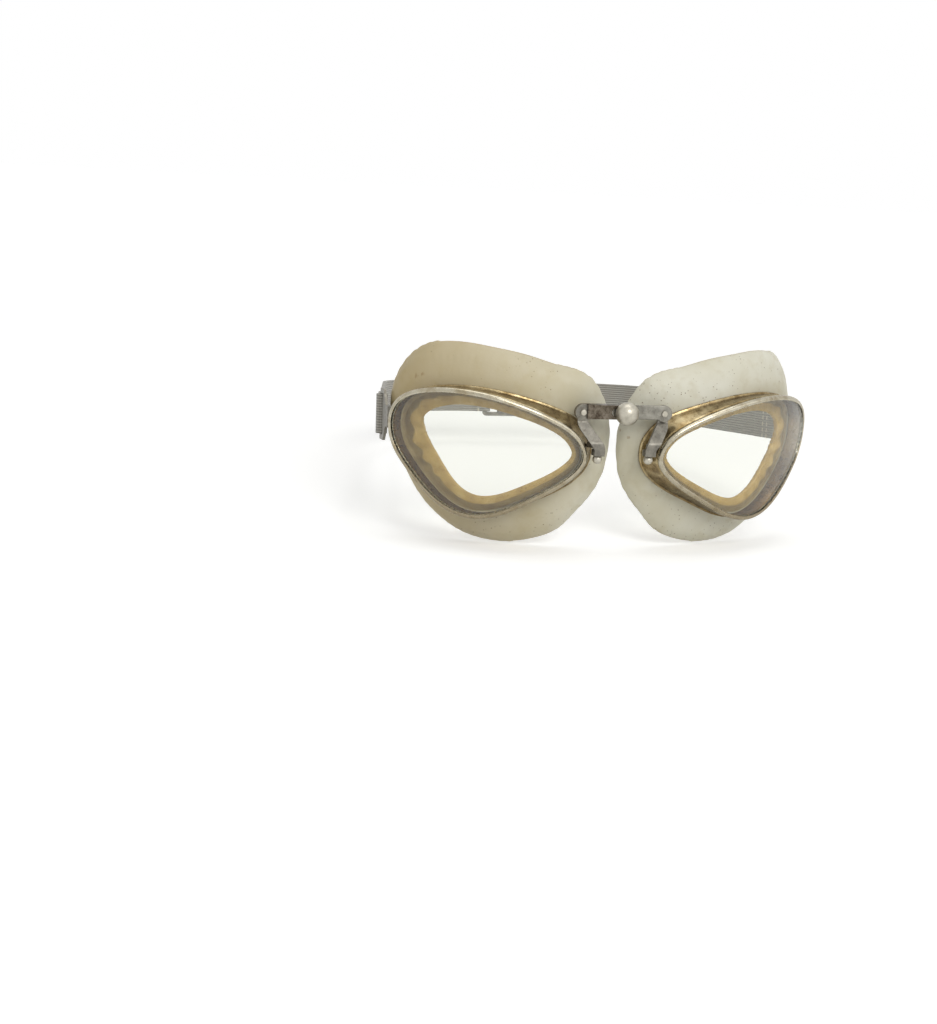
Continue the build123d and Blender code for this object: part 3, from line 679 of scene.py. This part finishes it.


# %% [markdown]
# A length's row gives its name, the places where it starts and ends, its two bodies, and two more
# places along it. A place is a distance from the middle plane on the rear arc, in millimetres.

# %% Elastic of the headband
CUTS = [y * MM for y in range(32, 116, 4)]
LENGTHS = (
    ("front", None, 58.2, "_eyepiece", "_arm", None, 59.8),
    ("side", 58.2, 42.0, "_arm", "_plate", 56.5, 44.5),
    ("back", 42.0, None, "_plate", "clamp", 40.0, 30.5),
)
for hand, sign in (("right", 1), ("left", -1)):
    whole = fine_copy(hand + "_headband", grey_elastic, None, 0.3, 2, 40,
                      hand + "_elastic_front", cuts=CUTS)
    pieces = [whole]
    for part, *_ in LENGTHS[1:]:
        piece = whole.copy()
        piece.data = whole.data.copy()
        piece.name = hand + "_elastic_" + part
        scene.collection.objects.link(piece)
        pieces.append(piece)
    for piece, row in zip(pieces, LENGTHS):
        _, first, last, near_body, far_body, blend_from, blend_to = row
        keep_between(piece, sign, first, last)
        bpy.ops.object.select_all(action="DESELECT")
        bpy.context.view_layer.objects.active = piece
        piece.select_set(True)
        bpy.ops.mesh.customdata_custom_splitnormals_clear()
        bpy.ops.object.shade_smooth_by_angle(angle=SMOOTH_ANGLE)
        weave = piece.data.uv_layers.new(name="weave")
        piece.data.uv_layers.active = weave
        for loop in piece.data.loops:
            weave.data[loop.index].uv = strap_place(piece.data.vertices[loop.vertex_index].co)
        far = back_point(blend_to, sign)
        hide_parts(hand + "_headband")
        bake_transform(piece)
        print(piece.name, len(piece.data.polygons))

# %% [markdown]
# ## Floor and light
# The goggles stand on a white sweep in soft light from in front and above, with a large
# dim panel at the right, so that the metal has something bright to show. Where they are
# seen, the sky is plain white and the floor is lifted towards white. As light they are
# dimmer.

# %% Stage
FLOOR_GAP = 0.0005
PAPER_NEAR, PAPER_FAR = 0.2, 1.4
LIFT_NEAR, LIFT_FAR = 0.3, 0.64
SKY_LIGHT = 0.42
WHITE = "#ffffff"


def is_seen(owner):
    """1 for a ray from the camera, also through glass or off a bright surface, or else 0."""
    rays = node(owner, "LightPath").outputs
    direct = node(owner, "Math", LARGER, i0=rays["Is Camera Ray"], i1=rays["Is Transmission Ray"])
    return node(owner, "Math", LARGER, i0=direct, i1=rays["Is Glossy Ray"])


bpy.ops.mesh.primitive_plane_add(size=6, location=(0, 0, cad_box[0][2] - FLOOR_GAP))
floor = bpy.context.object
floor.name = "floor"
paper, paper_body = new_material("white_paper_sweep", Roughness=0.9, Base_Color="#f2f2f0")
spot = node(paper, "TexCoord").outputs["Object"]
far = node(paper, "VectorMath", {"operation": "LENGTH"}, i0=spot).outputs["Value"]
lift = node(paper, "MapRange", Value=far, From_Min=PAPER_NEAR, From_Max=PAPER_FAR,
            To_Min=LIFT_NEAR, To_Max=LIFT_FAR)
bright = node(paper, "Emission", Color=WHITE, Strength=lift)
both = node(paper, "AddShader", i0=paper_body, i1=bright)
which = node(paper, "MixShader", i0=is_seen(paper), i1=paper_body, i2=both)
feed(paper.node_tree.nodes["Material Output"], Surface=which)
floor.data.materials.append(paper)

world = bpy.data.worlds.new("studio")
world.use_nodes = True
scene.world = world
dim = world.node_tree.nodes["Background"]
feed(dim, Color=WHITE, Strength=SKY_LIGHT)
plain = node(world, "Background", Color=WHITE, Strength=1.0)
choose = node(world, "MixShader", i0=is_seen(world), i1=dim, i2=plain)
feed(world.node_tree.nodes["World Output"], Surface=choose)


def panel(name, spot, aim, size, watts):
    """A soft, square light panel that faces its aim."""
    bpy.ops.object.light_add(type="AREA", location=spot)
    light = bpy.context.object
    light.name = name
    light.data.shape = "RECTANGLE"
    light.data.size = light.data.size_y = size
    light.data.energy = watts
    light.rotation_euler = (Vector(aim) - Vector(spot)).to_track_quat("-Z", "Y").to_euler()


panel("key", (0.1, -0.75, 0.6), aim=(0, 0, -0.01), size=0.45, watts=3.9)
panel("top", (0.0, 0.1, 0.9), aim=(0, 0, 0), size=0.6, watts=2.2)
panel("right_side", (0.7, -0.6, 0.5), aim=(0, 0, 0), size=0.7, watts=1.0)

# %% Finish
scene.view_settings.view_transform = "Standard"
